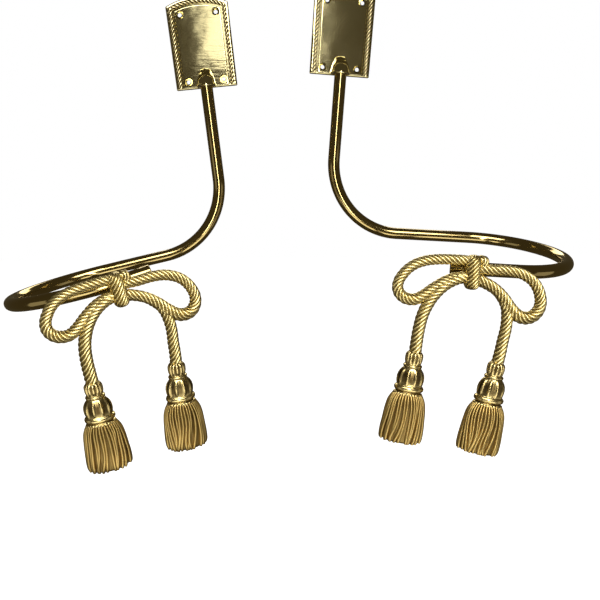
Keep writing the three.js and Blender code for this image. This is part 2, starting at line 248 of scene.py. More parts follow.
def round_rod_tree():
    """A plain round rod along a curve, its end edge softened by the curve's own radius."""
    tree, entry, end = new_shape_tree("round_rod", (
        ("Sides", "NodeSocketInt", ROD_SIDES),
        ("Metal", "NodeSocketMaterial", None),
    ))
    ring = add(tree, "GeometryNodeCurvePrimitiveCircle", mode="RADIUS")
    ring.inputs["Radius"].default_value = 1.0
    link(tree, entry.outputs["Sides"], ring.inputs["Resolution"])
    sweep = add(tree, "GeometryNodeCurveToMesh")
    sweep.inputs["Fill Caps"].default_value = True
    link(tree, entry.outputs["Geometry"], sweep.inputs["Curve"])
    link(tree, ring.outputs["Curve"], sweep.inputs["Profile Curve"])
    own = add(tree, "GeometryNodeInputRadius")
    link(tree, own.outputs["Radius"], sweep.inputs["Scale"])
    close_shape_tree(tree, entry, end, sweep.outputs["Mesh"])
    return tree


# The skirt's outline and its strands' thickness: way down from 0 to 1, share of the full size.
SKIRT_FLARE = ((0, 0.66), (0.08, 0.79), (0.17, 0.88), (0.28, 0.93), (0.53, 0.975), (0.85, 1.0), (1, 0.97))
STRAND_SWELL = ((0, 0.4), (0.1, 0.46), (0.3, 0.64), (0.6, 0.86), (0.9, 1.0), (0.97, 0.95), (1, 0.7))


def skirt_tree():
    """Strands that flare down from a ring, drifting together and each a little on its own."""
    tree, entry, end = new_shape_tree("skirt_strands", (
        ("Strands", "NodeSocketInt", SKIRT_STRANDS),
        ("Top", "NodeSocketFloat", SKIRT_TOP),
        ("Length", "NodeSocketFloat", SKIRT_LENGTH),
        ("Radius", "NodeSocketFloat", SKIRT_RADIUS),
        ("Flatness", "NodeSocketFloat", SKIRT_FLATNESS),
        ("Sway", "NodeSocketFloat", SKIRT_SWAY),
        ("Seed", "NodeSocketInt", 1),
        ("Metal", "NodeSocketMaterial", None),
    ))
    resample = add(tree, "GeometryNodeResampleCurve", mode="COUNT")
    resample.inputs["Count"].default_value = 22
    link(tree, entry.outputs["Geometry"], resample.inputs["Curve"])
    copies = add(tree, "GeometryNodeDuplicateElements", domain="SPLINE")
    link(tree, resample.outputs["Curve"], copies.inputs["Geometry"])
    link(tree, entry.outputs["Strands"], copies.inputs["Amount"])
    which = copies.outputs["Duplicate Index"]
    down = add(tree, "GeometryNodeSplineParameter").outputs["Factor"]

    def own_value(low, high, offset):
        """A value of each strand's own."""
        node = add(tree, "FunctionNodeRandomValue", data_type="FLOAT")
        node.inputs[2].default_value = low
        node.inputs[3].default_value = high
        link(tree, which, node.inputs["ID"])
        link(tree, math_node(tree, "ADD", entry.outputs["Seed"], offset), node.inputs["Seed"])
        return node.outputs[1]

    def shape_of(points):
        """A smooth curve over the way down."""
        node = add(tree, "ShaderNodeFloatCurve")
        curve = node.mapping.curves[0]
        curve.points[0].location = points[0]
        curve.points[1].location = points[-1]
        for point in points[1:-1]:
            curve.points.new(*point)
        node.mapping.update()
        link(tree, down, node.inputs["Value"])
        return node.outputs["Value"]

    share = math_node(tree, "DIVIDE", which, entry.outputs["Strands"])
    around = math_node(tree, "MULTIPLY", share, 2 * math.pi)
    field = add(tree, "ShaderNodeCombineXYZ")
    link(tree, math_node(tree, "COSINE", around), field.inputs["X"])
    link(tree, math_node(tree, "SINE", around), field.inputs["Y"])
    fall = math_node(tree, "MULTIPLY", down, 0.7)
    link(tree, math_node(tree, "ADD", fall, entry.outputs["Seed"]), field.inputs["Z"])
    drift = add(tree, "ShaderNodeTexNoise")
    drift.inputs["Scale"].default_value = 0.9
    drift.inputs["Detail"].default_value = 1.0
    link(tree, field.outputs["Vector"], drift.inputs["Vector"])
    together = math_node(tree, "SUBTRACT", drift.outputs["Fac"], 0.5)
    apart = own_value(-0.1, 0.1, 11)
    swing = math_node(tree, "MULTIPLY", math_node(tree, "ADD", together, apart), entry.outputs["Sway"])
    angle = math_node(tree, "ADD", around, math_node(tree, "MULTIPLY", swing, down))

    reach = math_node(tree, "MULTIPLY", shape_of(SKIRT_FLARE), entry.outputs["Radius"])
    reach = math_node(tree, "ADD", reach, math_node(tree, "MULTIPLY", own_value(-0.45, 0.45, 23), down))
    long = math_node(tree, "MULTIPLY", entry.outputs["Length"], own_value(0.985, 1.0, 37))
    depth = math_node(tree, "ADD", math_node(tree, "MULTIPLY", down, long), entry.outputs["Top"])
    place = add(tree, "ShaderNodeCombineXYZ")
    across = math_node(tree, "MULTIPLY", math_node(tree, "COSINE", angle), reach)
    over = math_node(tree, "MULTIPLY", math_node(tree, "SINE", angle), reach)
    link(tree, across, place.inputs["X"])
    link(tree, math_node(tree, "MULTIPLY", depth, -1.0), place.inputs["Y"])
    link(tree, math_node(tree, "MULTIPLY", over, entry.outputs["Flatness"]), place.inputs["Z"])
    put = add(tree, "GeometryNodeSetPosition")
    link(tree, copies.outputs["Geometry"], put.inputs["Geometry"])
    link(tree, place.outputs["Vector"], put.inputs["Position"])

    ring = add(tree, "GeometryNodeCurvePrimitiveCircle", mode="RADIUS")
    ring.inputs["Radius"].default_value = SKIRT_STRAND_RADIUS
    ring.inputs["Resolution"].default_value = 10
    sweep = add(tree, "GeometryNodeCurveToMesh")
    sweep.inputs["Fill Caps"].default_value = True
    link(tree, put.outputs["Geometry"], sweep.inputs["Curve"])
    link(tree, ring.outputs["Curve"], sweep.inputs["Profile Curve"])
    link(tree, shape_of(STRAND_SWELL), sweep.inputs["Scale"])
    close_shape_tree(tree, entry, end, sweep.outputs["Mesh"])
    return tree


def shaped(path, tree, values):
    """The plain mesh that a tree makes from a path, which is then removed."""
    modifier = path.modifiers.new(tree.name, "NODES")
    modifier.node_group = tree
    sockets = {item.name: item.identifier for item in tree.interface.items_tree if item.in_out == "INPUT"}
    for label, value in values.items():
        modifier[sockets[label]] = value
    bpy.context.view_layer.update()
    deps = bpy.context.evaluated_depsgraph_get()
    mesh = bpy.data.meshes.new_from_object(path.evaluated_get(deps), depsgraph=deps)
    curve = path.data
    bpy.data.objects.remove(path)
    bpy.data.curves.remove(curve)
    return mesh


def path_object(points, radii, smooth):
    """A curve object through points, each with its own radius."""
    data = bpy.data.curves.new("path", "CURVE")
    data.dimensions = "3D"
    data.resolution_u = 24
    data.twist_mode = "MINIMUM"
    if smooth:
        spline = data.splines.new("BEZIER")
        spline.bezier_points.add(len(points) - 1)
        for knot, point, radius in zip(spline.bezier_points, points, radii):
            knot.co = point
            knot.radius = radius
            knot.handle_left_type = knot.handle_right_type = "AUTO"
    else:
        spline = data.splines.new("POLY")
        spline.points.add(len(points) - 1)
        for knot, point, radius in zip(spline.points, points, radii):
            knot.co = (*point, 1.0)
            knot.radius = radius
    path = bpy.data.objects.new("path", data)
    bpy.context.collection.objects.link(path)
    return path


# Paths, in millimetres round each holdback's own plate or knot

def bent_rod_path(holdback):
    """Points down the middle of the rod, from its socket to its tip."""
    at = Vector((0.0, PLATE_BOTTOM + SOCKET_DEPTH, ROD_OFF_WALL))
    along = Vector((0.0, -1.0, 0.0))
    inside = Vector((holdback["outward"], 0.0, 0.0))
    points = [at.copy()]
    at += along * SOCKET_DEPTH
    for feed, roll, radius, angle in holdback["bends"]:
        at += along * feed
        inside.rotate(Quaternion(along, math.radians(roll) * holdback["outward"]))
        centre = at + inside * radius
        axis = along.cross(inside)
        steps = math.ceil(angle / BEND_STEP_DEGREES)
        turn = Quaternion(axis, math.radians(angle / steps))
        points.append(at.copy())
        for _ in range(steps):
            arm = at - centre
            arm.rotate(turn)
            at = centre + arm
            along.rotate(turn)
            inside.rotate(turn)
            points.append(at.copy())
    points.append(at + along * holdback["tip"])
    return points


def point_before_end(points, back):
    """The point that lies a given length before a path's end."""
    for after, before in zip(reversed(points), list(reversed(points))[1:]):
        span = (after - before).length
        if back <= span:
            return after.lerp(before, back / span)
        back -= span
    return points[0]


# Each loop leaves the knot at its top, runs outward, turns down and comes back over its cord.
# The rope's radii are spread evenly along its path.
LOOPS = (
    {
        "points": (
            (-1, 6.3, -0.5), (-8, 6, 0), (-15, 5.1, 0), (-21, 4.1, 0), (-27.2, 2.6, 0),
            (-33.4, 0.3, 0), (-39.7, -3.9, 0), (-44.6, -10.4, 0), (-46.8, -17.3, 0), (-45.8, -22, 0),
            (-42.4, -25.4, 0), (-38, -26.6, 0), (-33.3, -25.8, 0), (-28.8, -22.5, 0),
            (-22.1, -15.3, -0.5), (-13.6, -8, -0.5), (-5, -4.2, -0.5),
        ),
        "radii": (3.7, 3.6, 3.6, 3.6, 3.8, 4.2, 4, 3.6, 3.5),
    },
    {
        "points": (
            (1, 2.6, -0.5), (7, 2.9, 0), (13, 3.4, 0), (18.5, 4.4, 0), (24, 5, 0), (30, 4.9, 0),
            (35.5, 3.5, 0), (39.9, 1.3, 0), (43.9, -2.4, 0), (47.2, -8, 0), (48.5, -13.5, 0),
            (47.2, -19.2, 0), (43.6, -23, 0), (39.1, -24, 0), (35, -23, 0), (30, -19.7, 0),
            (23.2, -13.1, 0.7), (16, -8.1, 0.7), (5, -4.2, 0.5),
        ),
        "radii": (3.6, 3.6, 3.7, 3.7, 4, 4.5, 4.6, 3.8, 3.6),
    },
)

# Each cord runs from the knot down to its tassel, with its radii spread in the same way.
CORDS = (
    {
        "points": (
            (-1, -5, 0), (-6, -5.8, 0.4), (-12, -9.2, 0.4), (-17, -14, 0.4), (-21.3, -20.5, 0),
            (-24.4, -28, 0), (-26, -35, 0), (-26.5, -45, 0), (-26, -55, 0), (-25.5, -61.5, 0),
        ),
        "radii": (3.8, 3.9, 4.2, 4.3, 4.4),
    },
    {
        "points": (
            (1, -5, 0), (8, -6, -0.6), (14.5, -7.9, -0.6), (19.5, -10.3, -0.6), (23.2, -13.6, -0.6),
            (26.8, -18.6, 0), (28.9, -24.8, 0), (30.1, -32, 0), (30.2, -43, 0), (30.4, -52, 0),
            (30.2, -58, 0),
        ),
        "radii": (3.7, 3.7, 3.9, 4, 4.3),
    },
)

# Each tassel hangs from its cord's end: where, and how far it drifts sideways for each step down.
TASSELS = (
    {"top": (-25.5, -61.0), "slant": 0.042, "seed": 3},
    {"top": (30.1, -57.3), "slant": 0.008, "seed": 8},
)


def spread_radii(points, values):
    """A radius for each point, from values spread evenly along the path."""
    spans = [(Vector(b) - Vector(a)).length for a, b in zip(points, points[1:])]
    radii = []
    for i in range(len(points)):
        at = sum(spans[:i]) / sum(spans) * (len(values) - 1)
        before = min(int(at), len(values) - 2)
        radii.append(values[before] + (values[before + 1] - values[before]) * (at - before))
    return radii


# Meshes made row by row

def ring_mesh(name, rings, hollows=None):
    """A closed skin over rings of points, from the first ring's middle to the last ring's."""
    count = len(rings[0])
    verts = [point for ring in rings for point in ring]
    faces = []
    for row in range(len(rings) - 1):
        for j in range(count):
            k = (j + 1) % count
            a, b = row * count, (row + 1) * count
            faces.append((a + j, a + k, b + k, b + j))
    for row, flip in ((0, True), (len(rings) - 1, False)):
        middle = sum((Vector(point) for point in rings[row]), Vector()) / count
        verts.append(tuple(middle))
        hub = len(verts) - 1
        for j in range(count):
            pair = (row * count + j, row * count + (j + 1) % count)
            faces.append((hub, *(reversed(pair) if flip else pair)))
    mesh = bpy.data.meshes.new(name)
    mesh.from_pydata(verts, [], faces)
    if hollows is not None:
        attribute = mesh.attributes.new("hollow", "FLOAT", "POINT")
        values = [value for ring in hollows for value in ring]
        values += [hollows[0][0], hollows[-1][0]]
        attribute.data.foreach_set("value", values)
    mesh.shade_smooth()
    return mesh


def tassel_flatness(depth):
    """How thick a tassel is for its width: less so further down."""
    share = min(max(depth / FLATTEST_FROM, 0), 1)
    return HEAD_FLATNESS + (SKIRT_FLATNESS - HEAD_FLATNESS) * share


def lobed_turning(name, rows, around):
    """A turned shape down -y, flattened like a tassel, with a number of points around.

    Each row is depth, radius, kind of lobes and how deep they are cut. A kind is the number of lobes,
    how narrow they are and how dull and dark with painted shade the hollows between them start.
    """
    rings, hollows = [], []
    for depth, radius, (lobes, narrow, dull_and_shaded), cut in rows:
        flat = tassel_flatness(depth)
        ring, hollow = [], []
        for j in range(around):
            angle = 2 * math.pi * j / around
            crest = abs(math.cos(lobes * angle / 2)) ** narrow if lobes else 1.0
            reach = radius * (1 - cut * (1 - crest))
            ring.append((reach * math.cos(angle), -depth, reach * math.sin(angle) * flat))
            # The hollow value dulls the metal and darkens it with painted shade.
            hollow.append(max(dull_and_shaded, (1 - crest) * min(1.0, cut * 8)))
        rings.append(ring)
        hollows.append(hollow)
    return ring_mesh(name, rings, hollows)


def finer_rows(rows, parts):
    """The rows with straight in-between rows, so that lobes start and end gently."""
    finer = []
    for first, second in zip(rows, rows[1:]):
        for part in range(parts):
            share = part / parts
            depth, radius = (a + (b - a) * share for a, b in zip(first[:2], second[:2]))
            cut = first[3] + (second[3] - first[3]) * share
            finer.append((depth, radius, max(first[2], second[2]), cut))
    return finer + [rows[-1]]


# Plate

ARCH_RADIUS = (PLATE_WIDTH ** 2 / 4 + ARCH_RISE ** 2) / (2 * ARCH_RISE)
ARCH_CENTRE = -PLATE_BOTTOM + ARCH_RISE - ARCH_RADIUS


def arc(x, y, radius, start, end, steps):
    """Points round (x, y) from one angle to another."""
    points = []
    for i in range(steps + 1):
        angle = start + (end - start) * i / steps
        points.append((x + radius * math.cos(angle), y + radius * math.sin(angle)))
    return points


def plate_outline(inset, bottom_inset):
    """The plate's outline, counter-clockwise, drawn in evenly on its sides and arched top."""
    half = PLATE_WIDTH / 2 - inset
    radius = ARCH_RADIUS - inset
    reach = math.asin(half / radius)
    across = half - CORNER_RADIUS
    low = PLATE_BOTTOM + bottom_inset + CORNER_RADIUS
    right_corner = arc(across, low, CORNER_RADIUS, -math.pi / 2, 0, 6)
    arch = arc(0, ARCH_CENTRE, radius, math.pi / 2 - reach, math.pi / 2 + reach, 48)
    left_corner = arc(-across, low, CORNER_RADIUS, math.pi, math.pi * 1.5, 6)
    return right_corner + arch + left_corner


def raised_panel(name, low, steps):
    """A solid panel from a low height up through (height, inset, bottom inset) steps."""
    rings = [[(x, y, low) for x, y in plate_outline(*steps[0][1:])]]
    for height, inset, bottom_inset in steps:
        rings.append([(x, y, height) for x, y in plate_outline(inset, bottom_inset)])
    return ring_mesh(name, rings)


# The hood from its top down: height on the plate, half width, reach of its crown off the wall.
HOOD_PROFILE = (
    (14.5, 1.8, 3.0), (14.3, 3.3, 3.4), (13.6, 4.4, 4.5), (12.4, 4.9, 6.1), (11, 5.2, 8.2),
    (9.5, 5.6, 10.6), (8, 6.0, 12.4), (6.3, 6.4, 13.8), (4.6, 6.7, 14.9), (2.9, 6.95, 15.8),
    (2.2, 7.05, 16.1), (2.0, 7.4, 16.4), (1.8, 7.5, 16.5), (1.0, 7.5, 16.5), (0.7, 7.35, 16.35),
)


def hood_mesh():
    """The hood over the rod's end, in rings that each arch over from the plate and back."""
    rings = []
    for height, half, crown in HOOD_PROFILE:
        level = PLATE_BOTTOM + height
        spring = max(crown - half, HOOD_LOWEST_SPRING)
        ring = [(half, level, HOOD_FOOT)]
        for j in range(33):
            angle = math.pi * j / 32
            ring.append((half * math.cos(angle), level, spring + (crown - spring) * math.sin(angle)))
        ring.append((-half, level, HOOD_FOOT))
        rings.append(ring)
    return ring_mesh("hood", rings)


def cutter(name, rows):
    """A closed turned tool along +z for cutting holes, from rows of height and radius."""
    rings = []
    for height, radius in rows:
        circle = arc(0, 0, radius, 0, 2 * math.pi, 64)
        rings.append([(x, y, height) for x, y in circle[:-1]])
    return ring_mesh(name, rings)


def mesh_object(mesh):
    """A mesh put in the scene under its own name."""
    thing = bpy.data.objects.new(mesh.name, mesh)
    bpy.context.collection.objects.link(thing)
    return thing


def joined(name, meshes):
    """One mesh from several, in order."""
    if len(meshes) == 1:
        meshes[0].name = name
        return meshes[0]
    things = [mesh_object(mesh) for mesh in meshes]
    with bpy.context.temp_override(active_object=things[0], selected_editable_objects=things):
        bpy.ops.object.join()
    mesh = things[0].data
    mesh.name = name
    bpy.data.objects.remove(things[0])
    return mesh


def with_cuts(mesh, tools):
    """The mesh with each tool's shape taken out of it."""
    body = mesh_object(mesh)
    cutters = []
    for tool in tools:
        thing = mesh_object(tool)
        cutters.append(thing)
        modifier = body.modifiers.new("cut", "BOOLEAN")
        modifier.operation = "DIFFERENCE"
        modifier.solver = "EXACT"
        modifier.object = thing
    bpy.context.view_layer.update()
    deps = bpy.context.evaluated_depsgraph_get()
    result = bpy.data.meshes.new_from_object(body.evaluated_get(deps), depsgraph=deps)
    for thing in [body] + cutters:
        bpy.data.objects.remove(thing)
    return result


def sharpen(mesh, degrees):
    """Smooth shading, broken only at edges that turn more than the given angle."""
    mesh.shade_smooth()
    mesh.set_sharp_from_angle(angle=math.radians(degrees))
    return mesh


def screw_hole_tools():
    """One tool for each countersunk screw hole."""
    flare = COUNTERSINK_RADIUS - SCREW_HOLE_RADIUS
    over = 0.5
    rows = (
        (-over, SCREW_HOLE_RADIUS),
        (FIELD_THICKNESS - flare, SCREW_HOLE_RADIUS),
        (FIELD_THICKNESS + over, COUNTERSINK_RADIUS + over),
    )
    tools = []
    for x in (-SCREW_HOLE_X, SCREW_HOLE_X):
        for height in SCREW_HOLE_HEIGHTS:
            tool = cutter("screw hole", rows)
            tool.transform(Matrix.Translation((x, PLATE_BOTTOM + height, 0)))
            tools.append(tool)
    return tools


def plate_casting():
    """The flat parts of the plate with their screw holes."""
    slab = raised_panel("slab", 0.0, (
        (1.1, 0, 0),
        (1.5, 0.12, 0.12),
        (1.85, 0.4, 0.4),
        (2.08, 0.8, 0.8),
        (RIM_THICKNESS, 1.35, 1.35),
        (RIM_THICKNESS, 1.75, 1.75),
    ))
    inset = RIM_WIDTH + 2 * BORDER_ROPE_RADIUS + GROOVE_WIDTH
    field = raised_panel("field", 1.0, (
        (1.9, inset, 1.0),
        (2.6, inset + 0.06, 1.1),
        (2.85, inset + 0.25, 1.35),
        (2.96, inset + 0.5, 1.6),
        (FIELD_THICKNESS, inset + 0.7, 1.8),
        (FIELD_THICKNESS, inset + 1.1, 2.2),
    ))
    tools = screw_hole_tools()
    return [with_cuts(slab, tools), with_cuts(field, tools)]


def hood_casting():
    """The hood with the socket that the rod's end sits in."""
    bore = ROD_RADIUS + CONTACT_GAP
    below = 5.0
    tool = cutter("socket", ((-below, bore), (SOCKET_DEPTH + CONTACT_GAP, bore)))
    mouth = Matrix.Translation((0, PLATE_BOTTOM, ROD_OFF_WALL))
    tool.transform(mouth @ Matrix.Rotation(-math.pi / 2, 4, "X"))
    return with_cuts(hood_mesh(), [tool])


def border_runs():
    """The three runs of the border rope: left side, arched top, right side."""
    inset = RIM_WIDTH + BORDER_ROPE_RADIUS
    side = PLATE_WIDTH / 2 - inset
    radius = ARCH_RADIUS - inset
    reach = math.asin(side / radius)
    low = PLATE_BOTTOM + BORDER_FOOT
    high = ARCH_CENTRE + radius * math.cos(reach) + BORDER_OVERLAP
    top = arc(0, ARCH_CENTRE, radius, math.pi / 2 + reach, math.pi / 2 - reach, 32)
    runs = ([(-side, low), (-side, high)], top, [(side, low), (side, high)])
    return [[(x, y, RIM_THICKNESS - BORDER_SUNK) for x, y in run] for run in runs]


# Metals

def new_metal(name):
    metal = bpy.data.materials.new(name)
    metal.use_nodes = True
    tree = metal.node_tree
    shader = next(node for node in tree.nodes if node.type == "BSDF_PRINCIPLED")
    shader.inputs["Metallic"].default_value = 1.0
    return metal, tree, shader


def colour_mix(tree, mask, first, second):
    """The first (r, g, b) where the mask is 0, and the second where it is 1."""
    node = add(tree, "ShaderNodeMix", data_type="RGBA")
    link(tree, mask, node.inputs[0])
    node.inputs[6].default_value = (*first, 1.0)
    node.inputs[7].default_value = (*second, 1.0)
    return node.outputs[2]


def scaled_place(tree, stretch):
    """Object coordinates stretched to a pattern's own size."""
    place = add(tree, "ShaderNodeTexCoord")
    mapping = add(tree, "ShaderNodeMapping")
    mapping.inputs["Scale"].default_value = stretch
    link(tree, place.outputs["Object"], mapping.inputs["Vector"])
    return mapping.outputs["Vector"]


def tarnish_and_shade_group():
    """Where brass is dulled: painted shade in its hollows, and tarnish in soft drifting patches."""
    tree = bpy.data.node_groups.new("tarnish_and_shade", "ShaderNodeTree")
    for label, value in (("In Hollows", 1.0), ("In Patches", 0.4), ("Patch Size", 60.0)):
        socket = tree.interface.new_socket(label, in_out="INPUT", socket_type="NodeSocketFloat")
        socket.default_value = value
    tree.interface.new_socket("Mask", in_out="OUTPUT", socket_type="NodeSocketFloat")
    entry, end = add(tree, "NodeGroupInput"), add(tree, "NodeGroupOutput")
    place = add(tree, "ShaderNodeTexCoord")
    patches = add(tree, "ShaderNodeTexNoise")
    patches.inputs["Detail"].default_value = 4.0
    link(tree, place.outputs["Object"], patches.inputs["Vector"])
    link(tree, entry.outputs["Patch Size"], patches.inputs["Scale"])
    drift = add(tree, "ShaderNodeMapRange")
    drift.inputs["From Min"].default_value = 0.45
    drift.inputs["From Max"].default_value = 0.75
    link(tree, patches.outputs["Fac"], drift.inputs["Value"])
    dulled = math_node(tree, "MULTIPLY", drift.outputs["Result"], entry.outputs["In Patches"])
    # Painted shade: darker, duller metal wherever the stored hollow value is high.
    attribute = add(tree, "ShaderNodeAttribute", attribute_name="hollow")
    low = math_node(tree, "MULTIPLY", attribute.outputs["Fac"], entry.outputs["In Hollows"])
    both = math_node(tree, "ADD", dulled, low)
    both.node.use_clamp = True
    link(tree, both, end.inputs["Mask"])
    return tree


def scratch_group():
    """Fine wiping scratches that run across, as a height."""
    tree = bpy.data.node_groups.new("scratches", "ShaderNodeTree")
    fineness = tree.interface.new_socket("Fineness", in_out="INPUT", socket_type="NodeSocketFloat")
    fineness.default_value = 500.0
    tree.interface.new_socket("Height", in_out="OUTPUT", socket_type="NodeSocketFloat")
    entry, end = add(tree, "NodeGroupInput"), add(tree, "NodeGroupOutput")
    strokes = add(tree, "ShaderNodeTexNoise")
    strokes.inputs["Detail"].default_value = 3.0
    strokes.inputs["Distortion"].default_value = 0.6
    link(tree, scaled_place(tree, (0.14, 1.0, 1.0)), strokes.inputs["Vector"])
    link(tree, entry.outputs["Fineness"], strokes.inputs["Scale"])
    link(tree, strokes.outputs["Fac"], end.inputs["Height"])
    return tree


def wave_group():
    """The slow unevenness of a hand-polished face, as a height."""
    tree = bpy.data.node_groups.new("uneven polish", "ShaderNodeTree")
    size = tree.interface.new_socket("Waves per Metre", in_out="INPUT", socket_type="NodeSocketFloat")
    size.default_value = 55.0
    tree.interface.new_socket("Height", in_out="OUTPUT", socket_type="NodeSocketFloat")
    entry, end = add(tree, "NodeGroupInput"), add(tree, "NodeGroupOutput")
    place = add(tree, "ShaderNodeTexCoord")
    swell = add(tree, "ShaderNodeTexNoise")
    swell.inputs["Detail"].default_value = 1.5
    link(tree, place.outputs["Object"], swell.inputs["Vector"])
    link(tree, entry.outputs["Waves per Metre"], swell.inputs["Scale"])
    link(tree, swell.outputs["Fac"], end.inputs["Height"])
    return tree


def height_bump(tree, group, depth, below=None):
    """A bump from a height group, with its depth in metres, over the bump below it."""
    source = add(tree, "ShaderNodeGroup", node_tree=group)
    bump = add(tree, "ShaderNodeBump")
    bump.inputs["Distance"].default_value = depth
    link(tree, source.outputs["Height"], bump.inputs["Height"])
    if below is not None:
        link(tree, below, bump.inputs["Normal"])
    return bump.outputs["Normal"]


def brass(name, bright, dull_and_shaded, smooth, rough, tarnish_and_shade, scratches=0.0, waves=0.0):
    """Cast or drawn brass: bright where it is rubbed, dull in tarnished patches, and dull and dark with
    painted shade in its hollows.

    Smooth and rough are its roughness in the two states. Tarnish and shade is how much painted shade in
    hollows, how much tarnish in patches, and the number of patches to a metre. Scratches and waves are
    depths in metres.
    """
    metal, tree, shader = new_metal(name)
    mask = add(tree, "ShaderNodeGroup", node_tree=TARNISH_AND_SHADE)
    for label, value in zip(("In Hollows", "In Patches", "Patch Size"), tarnish_and_shade):
        mask.inputs[label].default_value = value
    link(tree, colour_mix(tree, mask.outputs["Mask"], bright, dull_and_shaded), shader.inputs["Base Color"])
    dullness = math_node(tree, "MULTIPLY", mask.outputs["Mask"], rough - smooth)
    link(tree, math_node(tree, "ADD", dullness, smooth), shader.inputs["Roughness"])
    normal = None
    for group, depth in ((WAVES, waves), (SCRATCHES, scratches)):
        if depth:
            normal = height_bump(tree, group, depth, normal)
    if normal is not None:
        link(tree, normal, shader.inputs["Normal"])
    return metal


TARNISH_AND_SHADE = tarnish_and_shade_group()
SCRATCHES = scratch_group()
WAVES = wave_group()

# The plates, polished until they mirror the room
plate_brass = brass(
    "plate brass",
    bright=(0.72, 0.64, 0.35),
    dull_and_shaded=(0.36, 0.30, 0.13),
    smooth=0.07,
    rough=0.15,
    tarnish_and_shade=(0.5, 0.2, 45.0),
    scratches=0.00003,
    waves=0.00012,
)

# The plates' rope borders, with painted shade that makes their hollows nearly black
border_brass = brass(
    "border brass",
    bright=(0.92, 0.78, 0.42),
    dull_and_shaded=(0.08, 0.055, 0.015),
    smooth=0.27,
    rough=0.4,
    tarnish_and_shade=(2.2, 0.1, 60.0),
)

# The drawn rods, browner than the castings
rod_brass = brass(
    "rod brass",
    bright=(0.48, 0.37, 0.15),
    dull_and_shaded=(0.30, 0.21, 0.08),
    smooth=0.11,
    rough=0.17,
    tarnish_and_shade=(0.0, 0.3, 30.0),
)

# The bows' ropes, satin and pale, with painted shade in the hollows between strands
rope_brass = brass(
    "rope brass",
    bright=(0.98, 0.82, 0.38),
    dull_and_shaded=(0.19, 0.13, 0.035),
    smooth=0.33,
    rough=0.45,
    tarnish_and_shade=(1.2, 0.12, 90.0),
)

# The tassels' heads, with painted shade in their grooves and in the panels between ribs
head_brass = brass(
    "tassel head brass",
    bright=(0.76, 0.60, 0.26),
    dull_and_shaded=(0.08, 0.05, 0.015),
    smooth=0.25,
    rough=0.3,
    tarnish_and_shade=(1.0, 0.15, 90.0),
)

# The tassels' skirts, the roughest and brownest of the castings, their core dark with painted shade
skirt_brass = brass(
    "skirt brass",
    bright=(0.58, 0.41, 0.14),
    dull_and_shaded=(0.09, 0.055, 0.015),
    smooth=0.36,
    rough=0.6,
    tarnish_and_shade=(1.0, 0.2, 90.0),
    scratches=0.00001,
)


# Each shape's tree, made once

LAID_ROPE = laid_rope_tree()
ROUND_ROD = round_rod_tree()
SKIRT = skirt_tree()


def rope_mesh(points, radii, strands, lay, valley, metal, step=0.5, smooth=True):
    """Laid rope along points, which are joined by a smooth curve or by straight lines."""
    path = path_object(points, radii, smooth)
    return shaped(path, LAID_ROPE, {
        "Strands": strands, "Lay": lay, "Valley": valley, "Step": step, "Metal": metal,
    })


def plate_meshes():
    """The plate: flat casting, hood and border rope."""
    meshes = []
    for mesh in plate_casting() + [hood_casting()]:
        mesh.materials.clear()
        mesh.materials.append(plate_brass)
        meshes.append(sharpen(mesh, 25))
    for run in border_runs():
        radii = [BORDER_ROPE_RADIUS] * len(run)
        meshes.append(rope_mesh(
            run, radii, BORDER_STRANDS, BORDER_LAY, BORDER_VALLEY, border_brass, step=0.3, smooth=False))
    return meshes


def rod_mesh(holdback):
    """The bent rod, with the edge of its tip rounded."""
    points = bent_rod_path(holdback)
    end = points[-1]
    along = (points[-1] - points[-2]).normalized()
    radii = [ROD_RADIUS] * (len(points) - 1)
    points.pop()
    for i in range(7):
        angle = math.pi / 2 * i / 6
        points.append(end - along * ROD_TIP_ROUNDING * (1 - math.sin(angle)))
        radii.append(ROD_RADIUS - ROD_TIP_ROUNDING * (1 - math.cos(angle)))
    path = path_object(points, radii, smooth=False)
    return sharpen(shaped(path, ROUND_ROD, {"Sides": ROD_SIDES, "Metal": rod_brass}), 40)


def knot_mesh():
    """The fat wrap of strands that binds the bow, leaning a little to the left."""
    points, radii = [], []
    for i in range(41):
        turn = math.pi * (i / 40 - 0.5)
        height = KNOT_MIDDLE + KNOT_HALF_HEIGHT * math.sin(turn)
        points.append((height * KNOT_LEAN, height, 0))
        radii.append(KNOT_HALF_WIDTH * max(1 - abs(math.sin(turn)) ** 5, 0.002) ** 0.36)
    mesh = rope_mesh(
        points, radii, KNOT_STRANDS, KNOT_LAY, KNOT_VALLEY, rope_brass, step=0.4, smooth=False)
    mesh.transform(Matrix.Diagonal((1, 1, KNOT_DEPTH_FOR_WIDTH, 1)))
    return mesh


def knot_shoulder_mesh():
    """The short turn of rope that stands up at the knot's right shoulder."""
    points = [(0.5, 6.5, -3), (3.2, 8.6, -0.5), (5.6, 8.6, 0.8), (6.3, 6, 0.8), (5.6, 3.4, -0.5)]
    radii = [2.9, 3.0, 3.0, 2.9, 2.7]
    return rope_mesh(points, radii, strands=6, lay=17.0, valley=0.24, metal=rope_brass)


def bow_rope_meshes():
    """The knot with its loops and cords."""
    meshes = [knot_mesh(), knot_shoulder_mesh()]
    for ropes, lay in ((LOOPS, LOOP_LAY), (CORDS, CORD_LAY)):
        for rope in ropes:
            radii = spread_radii(rope["points"], rope["radii"])
            meshes.append(rope_mesh(rope["points"], radii, ROPE_STRANDS, lay, ROPE_VALLEY, rope_brass))
    return meshes


# Kinds of lobes: how many, how narrow, how dull and dark with painted shade the hollows between them start.
PLAIN = (0, 1.0, 0.0)
GROOVE = (0, 1.0, 1.0)
PETALS = (12, 0.7, 0.0)
RIBS = (10, 6.0, 0.0)
BEADS = (26, 0.6, 0.0)

